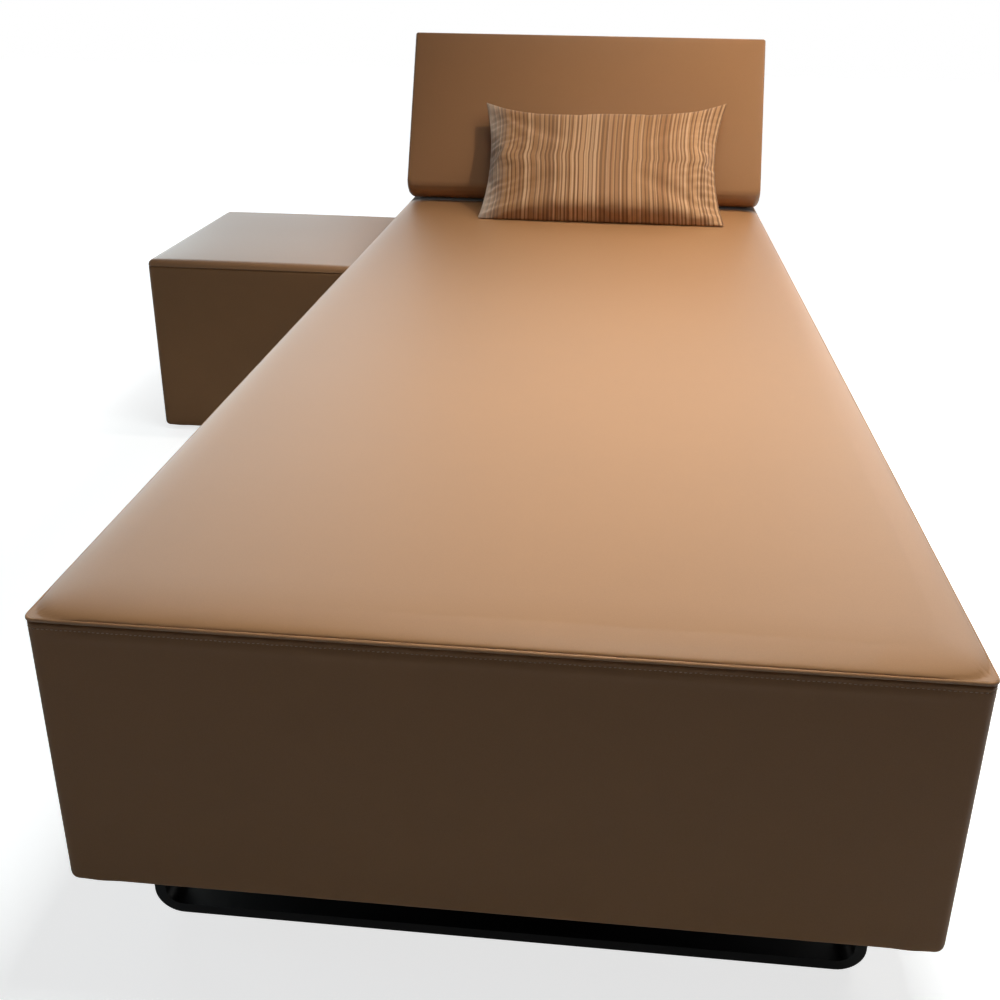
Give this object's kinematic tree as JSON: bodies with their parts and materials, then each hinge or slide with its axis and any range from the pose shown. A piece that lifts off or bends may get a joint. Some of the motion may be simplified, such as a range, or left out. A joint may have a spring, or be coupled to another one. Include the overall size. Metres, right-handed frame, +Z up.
{
  "type": "spa relaxation lounger",
  "caption": "Long upholstered spa lounger on flat-bar sled loops, with a reclining padded backrest, a loose striped pillow and a matching upholstered side block.",
  "frame": {"origin": "on the floor, under the middle of the box round the lounger, its backrest and the side block", "axes": "+Z up, +Y from the foot end to the head end, +X to the right for someone who stands at the foot end and looks at the backrest"},
  "size_m": [1.318, 1.9822, 0.8208],
  "materials": {
    "steel": "semi-gloss black powder coat",
    "glide": "matt",
    "plywood": "raw plywood",
    "pine": "raw pine",
    "felt": "black non-woven cloth",
    "wadding": "white polyester wadding",
    "foam": "cream upholstery foam",
    "leather": "tan, fine grain, semi-matt",
    "leather_side": "tan, fine grain, semi-matt",
    "leather_welt": "tan piping",
    "zinc": "bright zinc",
    "washer": "brown friction washer",
    "stripes": "woven vertical stripes in tan, cream and brown"
  },
  "bodies": {
    "lounger": {"front_sled_loop": "steel", "rear_sled_loop": "steel", "sled_bolts": "steel", "sled_glides": "glide", "left_rail": "plywood", "right_rail": "plywood", "foot_rail": "plywood", "head_rail": "plywood", "front_cross_rail": "pine", "middle_cross_rail": "pine", "rear_cross_rail": "pine", "front_bearer": "pine", "rear_bearer": "pine", "corner_blocks": "pine", "deck_board": "plywood", "dust_cover": "felt", "side_padding": "wadding", "mattress_core": "foam", "comfort_layer": "foam", "border_cover": "leather_side", "top_cover": "leather", "top_welt": "leather_welt", "back_carrier": "steel", "carrier_bolts": "zinc", "carrier_nuts": "zinc", "pivot_bolts": "zinc", "pivot_lock_nuts": "zinc", "friction_washers": "washer"},
    "backrest": {"back_board": "plywood", "back_foam": "foam", "back_front_cover": "leather", "back_rear_panel": "leather_side", "left_back_leaf": "steel", "right_back_leaf": "steel", "leaf_screws": "zinc"},
    "pillow": {"pillow_cover": "stripes", "pillow_fill": "wadding"},
    "side_block": {"block_front_board": "plywood", "block_rear_board": "plywood", "block_left_board": "plywood", "block_right_board": "plywood", "block_top_board": "plywood", "block_base_board": "plywood", "block_padding": "wadding", "block_foam": "foam", "block_top_cover": "leather", "block_border_cover": "leather_side", "block_glides": "glide"}
  },
  "joints": [
    {"name": "backrest_recline", "type": "hinge", "parent": "lounger", "child": "backrest", "pos_m": [0.234, 0.8669, 0.4703], "axis": [1, 0, 0], "range_deg": [-45, 0]},
    {"name": "pillow_lift", "type": "slide", "parent": "backrest", "child": "pillow", "axis": [0, -0.9063, 0.4226], "range_m": [0, 0.3]},
    {"name": "side_block_slide", "type": "slide", "parent": "lounger", "child": "side_block", "axis": [-1, 0, 0], "range_m": [0, 0.5]}
  ]
}
